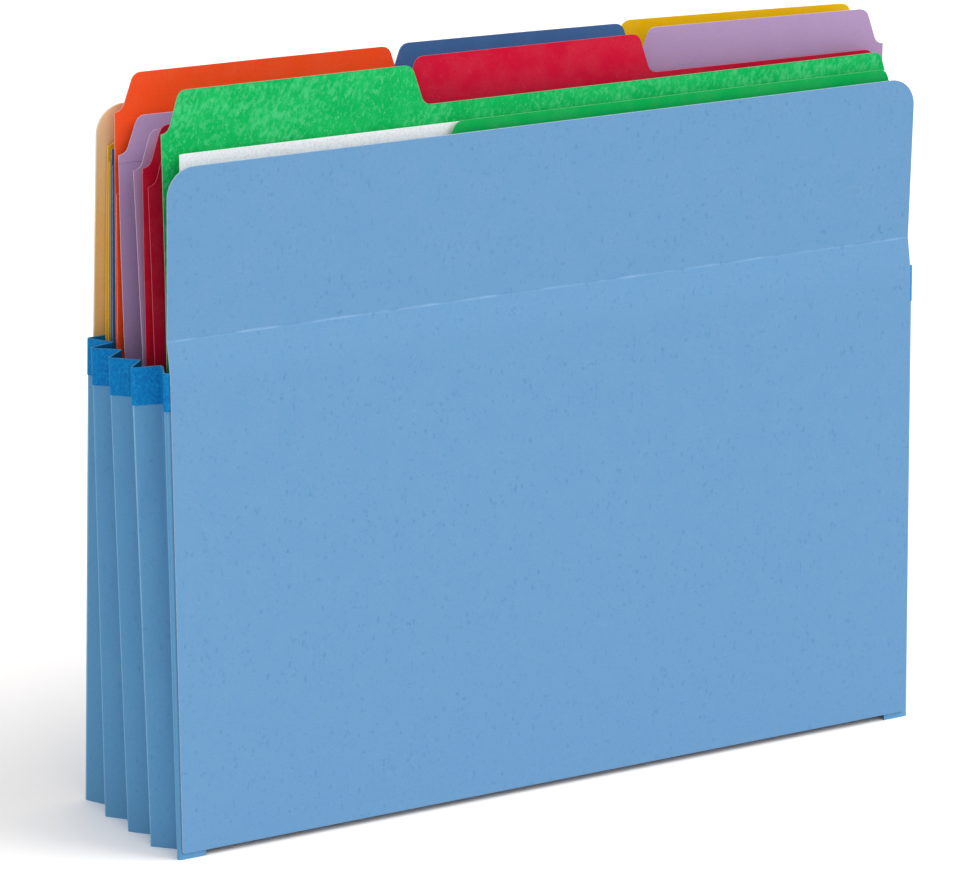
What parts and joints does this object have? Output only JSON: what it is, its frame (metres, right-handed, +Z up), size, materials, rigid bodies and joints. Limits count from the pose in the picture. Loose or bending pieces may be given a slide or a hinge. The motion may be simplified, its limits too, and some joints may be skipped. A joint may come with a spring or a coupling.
{
  "type": "expanding file pocket",
  "caption": "Letter-size expanding file pocket with pleated side gussets and a folded bottom, standing open and holding tabbed folders and loose sheets.",
  "frame": {"origin": "centre of the pocket's footprint on the surface that it stands on", "axes": "+Z up, -Y out of the front panel, +X to the right as seen from the front"},
  "size_m": [0.3148, 0.0718, 0.2603],
  "materials": {
    "blue_stock": "matte light blue fibre stock with fine mottling",
    "manila_lining": "matte tan manila",
    "gusset_stock": "matte mid blue paper, paler along the folds",
    "gusset_tape": "satin deep blue fibre tape",
    "green_stock": "matte green card with pale fibres",
    "red_stock": "matte red card",
    "lavender_stock": "matte lavender card",
    "orange_stock": "matte orange card",
    "folder_blue_stock": "matte dark blue card",
    "yellow_stock": "matte yellow card",
    "white_paper": "matte white writing paper"
  },
  "bodies": {
    "root": {"front_panel": "blue_stock", "back_panel": "blue_stock", "back_panel_lining": "manila_lining", "left_gusset": "gusset_stock", "right_gusset": "gusset_stock", "left_gusset_tape": "gusset_tape", "right_gusset_tape": "gusset_tape", "bottom_gusset": "gusset_stock", "green_folder": "green_stock", "red_folder": "red_stock", "lavender_folder": "lavender_stock", "orange_folder": "orange_stock", "blue_folder": "folder_blue_stock", "yellow_folder": "yellow_stock", "letter_sheet_1": "white_paper", "letter_sheet_2": "white_paper", "letter_sheet_3": "white_paper"}
  },
  "joints": []
}
